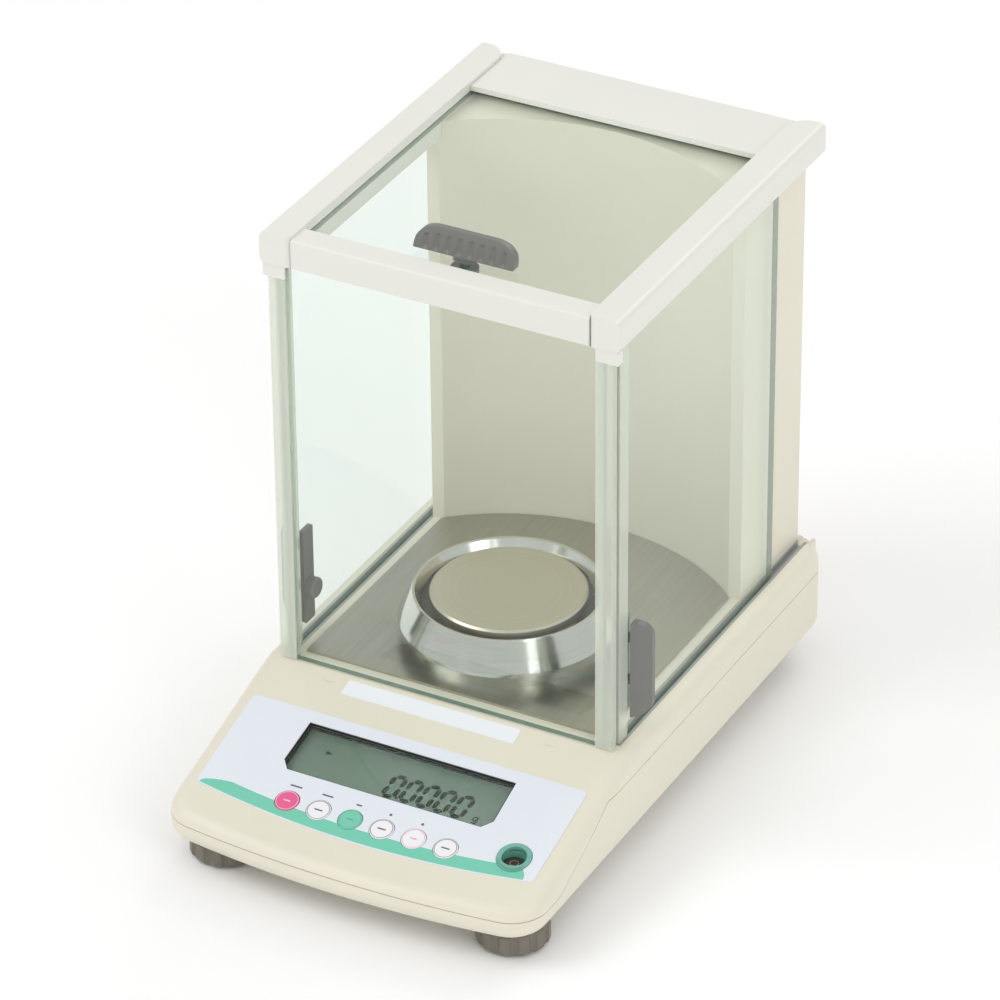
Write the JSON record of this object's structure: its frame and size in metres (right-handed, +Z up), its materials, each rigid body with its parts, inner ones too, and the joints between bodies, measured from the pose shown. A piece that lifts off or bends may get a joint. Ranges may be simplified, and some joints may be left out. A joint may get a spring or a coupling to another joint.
{
  "type": "analytical balance",
  "caption": "Laboratory analytical balance with a glass draft-shield chamber, sliding side and roof doors, a round weighing pan in a draft ring, and a sloping keypad with display.",
  "frame": {"origin": "bench level, at the middle of the whole object's box", "axes": "+Z up, +Y to the rear of the balance, -Y to the operator, +X to the operator's right"},
  "size_m": [0.208, 0.342, 0.315],
  "materials": {
    "cream_plastic": "fine moulded texture",
    "white_plastic": "smooth satin",
    "clear_glass": "polished float glass",
    "edge_plastic": "translucent satin",
    "grey_plastic": "satin grey moulding",
    "track_grey": "smooth grey",
    "foot_grey": "satin grey-brown",
    "rubber": "matt rubber",
    "floor_steel": "brushed",
    "pan_steel": "fine satin",
    "ring_steel": "polished",
    "aluminium": "machined",
    "brass": "turned",
    "screw_steel": "zinc plated",
    "overlay_film": "printed polyester film",
    "window_clear": "clear acrylic",
    "lcd_glass": "grey-green liquid crystal",
    "board_green": "circuit board",
    "switch_black": "matt black",
    "key_pink": "printed cap",
    "key_white": "printed cap",
    "key_green": "printed cap",
    "level_green": "glossy ring",
    "level_glass": "sealed glass vial",
    "label_white": "printed strip",
    "socket_black": "moulded socket",
    "copper": "enamelled wire",
    "magnet_steel": "plated iron"
  },
  "bodies": {
    "housing": {"base_tray": "cream_plastic", "upper_housing": "cream_plastic", "hook_cover": "cream_plastic", "housing_screws": "screw_steel", "foot_inserts": "brass", "rear_feet": "rubber", "power_jack": "socket_black", "data_port": "socket_black", "ground_terminal": "brass", "panel_overlay": "overlay_film", "display_window": "window_clear", "lcd_module": "lcd_glass", "display_board": "board_green", "key_switches": "switch_black", "level_holder": "level_green", "level_vial": "level_glass", "name_strip": "label_white", "column_wall": "cream_plastic", "column_cover": "cream_plastic", "cover_screws": "screw_steel", "main_board": "board_green", "top_rail_left": "white_plastic", "top_rail_right": "white_plastic", "front_bar": "white_plastic", "rear_cover": "white_plastic", "front_glass": "clear_glass", "front_post_left": "edge_plastic", "front_post_right": "edge_plastic", "lower_track_left": "track_grey", "lower_track_right": "track_grey", "floor_plate": "floor_steel", "cell_frame": "aluminium", "cell_magnet": "magnet_steel"},
    "side_door_left": {"side_door_left": "clear_glass", "door_edge_left": "edge_plastic", "side_handle_left": "grey_plastic", "handle_clip_left": "grey_plastic"},
    "side_door_right": {"side_door_right": "clear_glass", "door_edge_right": "edge_plastic", "side_handle_right": "grey_plastic", "handle_clip_right": "grey_plastic"},
    "roof_door": {"top_door": "clear_glass", "top_handle": "grey_plastic", "top_handle_clip": "grey_plastic"},
    "pan_carrier": {"pan_support": "screw_steel"},
    "pan": {"weighing_pan": "pan_steel"},
    "ring": {"draft_ring": "ring_steel"},
    "lever": {"weigh_lever": "aluminium", "force_coil": "copper"},
    "foot_left": {"foot_pad_left": "rubber"},
    "foot_right": {"foot_pad_right": "rubber"},
    "foot_knob_left": {"foot_knob_left": "foot_grey"},
    "foot_knob_right": {"foot_knob_right": "foot_grey"},
    "key_power": {"key_power": "key_pink"},
    "key_calibrate": {"key_calibrate": "key_white"},
    "key_mode": {"key_mode": "key_green"},
    "key_print": {"key_print": "key_white"},
    "key_tare": {"key_tare": "key_white"},
    "key_unit": {"key_unit": "key_white"}
  },
  "joints": [
    {"name": "side_door_left_slide", "type": "slide", "parent": "housing", "child": "side_door_left", "axis": [0, 1, 0], "range_m": [0, 0.12]},
    {"name": "side_door_right_slide", "type": "slide", "parent": "housing", "child": "side_door_right", "axis": [0, 1, 0], "range_m": [0, 0.12]},
    {"name": "roof_door_slide", "type": "slide", "parent": "housing", "child": "roof_door", "axis": [0, 1, 0], "range_m": [0, 0.135]},
    {"name": "pan_float", "type": "slide", "parent": "housing", "child": "pan_carrier", "axis": [0, 0, 1], "range_m": [-0.0004, 0], "stiffness_N_per_m": 6000, "springref_m": 0.0006},
    {"name": "pan_lift", "type": "slide", "parent": "pan_carrier", "child": "pan", "axis": [0, 0, 1], "range_m": [0, 0.02]},
    {"name": "ring_lift", "type": "slide", "parent": "housing", "child": "ring", "axis": [0, 0, 1], "range_m": [0, 0.03]},
    {"name": "lever_pivot", "type": "hinge", "parent": "housing", "child": "lever", "pos_m": [0, 0.0309, 0.0425], "axis": [1, 0, 0], "range_deg": [0, 2]},
    {"name": "foot_lift_left", "type": "slide", "parent": "housing", "child": "foot_left", "axis": [0, 0, 1], "range_m": [-0.0027, 0]},
    {"name": "foot_turn_left", "type": "hinge", "parent": "foot_left", "child": "foot_knob_left", "pos_m": [-0.0803, -0.1371, 0.008], "axis": [0, 0, 1], "range_deg": [-720, 0]},
    {"name": "foot_lift_right", "type": "slide", "parent": "housing", "child": "foot_right", "axis": [0, 0, 1], "range_m": [-0.0027, 0]},
    {"name": "foot_turn_right", "type": "hinge", "parent": "foot_right", "child": "foot_knob_right", "pos_m": [0.0803, -0.1371, 0.008], "axis": [0, 0, 1], "range_deg": [-720, 0]},
    {"name": "key_power_press", "type": "slide", "parent": "housing", "child": "key_power", "axis": [0, -0.2807, 0.9598], "range_m": [-0.0004, 0], "stiffness_N_per_m": 800},
    {"name": "key_calibrate_press", "type": "slide", "parent": "housing", "child": "key_calibrate", "axis": [0, -0.2807, 0.9598], "range_m": [-0.0004, 0], "stiffness_N_per_m": 800},
    {"name": "key_mode_press", "type": "slide", "parent": "housing", "child": "key_mode", "axis": [0, -0.2807, 0.9598], "range_m": [-0.0004, 0], "stiffness_N_per_m": 800},
    {"name": "key_print_press", "type": "slide", "parent": "housing", "child": "key_print", "axis": [0, -0.2807, 0.9598], "range_m": [-0.0004, 0], "stiffness_N_per_m": 800},
    {"name": "key_tare_press", "type": "slide", "parent": "housing", "child": "key_tare", "axis": [0, -0.2807, 0.9598], "range_m": [-0.0004, 0], "stiffness_N_per_m": 800},
    {"name": "key_unit_press", "type": "slide", "parent": "housing", "child": "key_unit", "axis": [0, -0.2807, 0.9598], "range_m": [-0.0004, 0], "stiffness_N_per_m": 800}
  ],
  "couplings": [
    {"joint": "lever_pivot", "follows": "pan_float", "rad_per_m": -81.967},
    {"joint": "foot_lift_left", "follows": "foot_turn_left", "m_per_rad": 0.000199},
    {"joint": "foot_lift_right", "follows": "foot_turn_right", "m_per_rad": 0.000199}
  ]
}
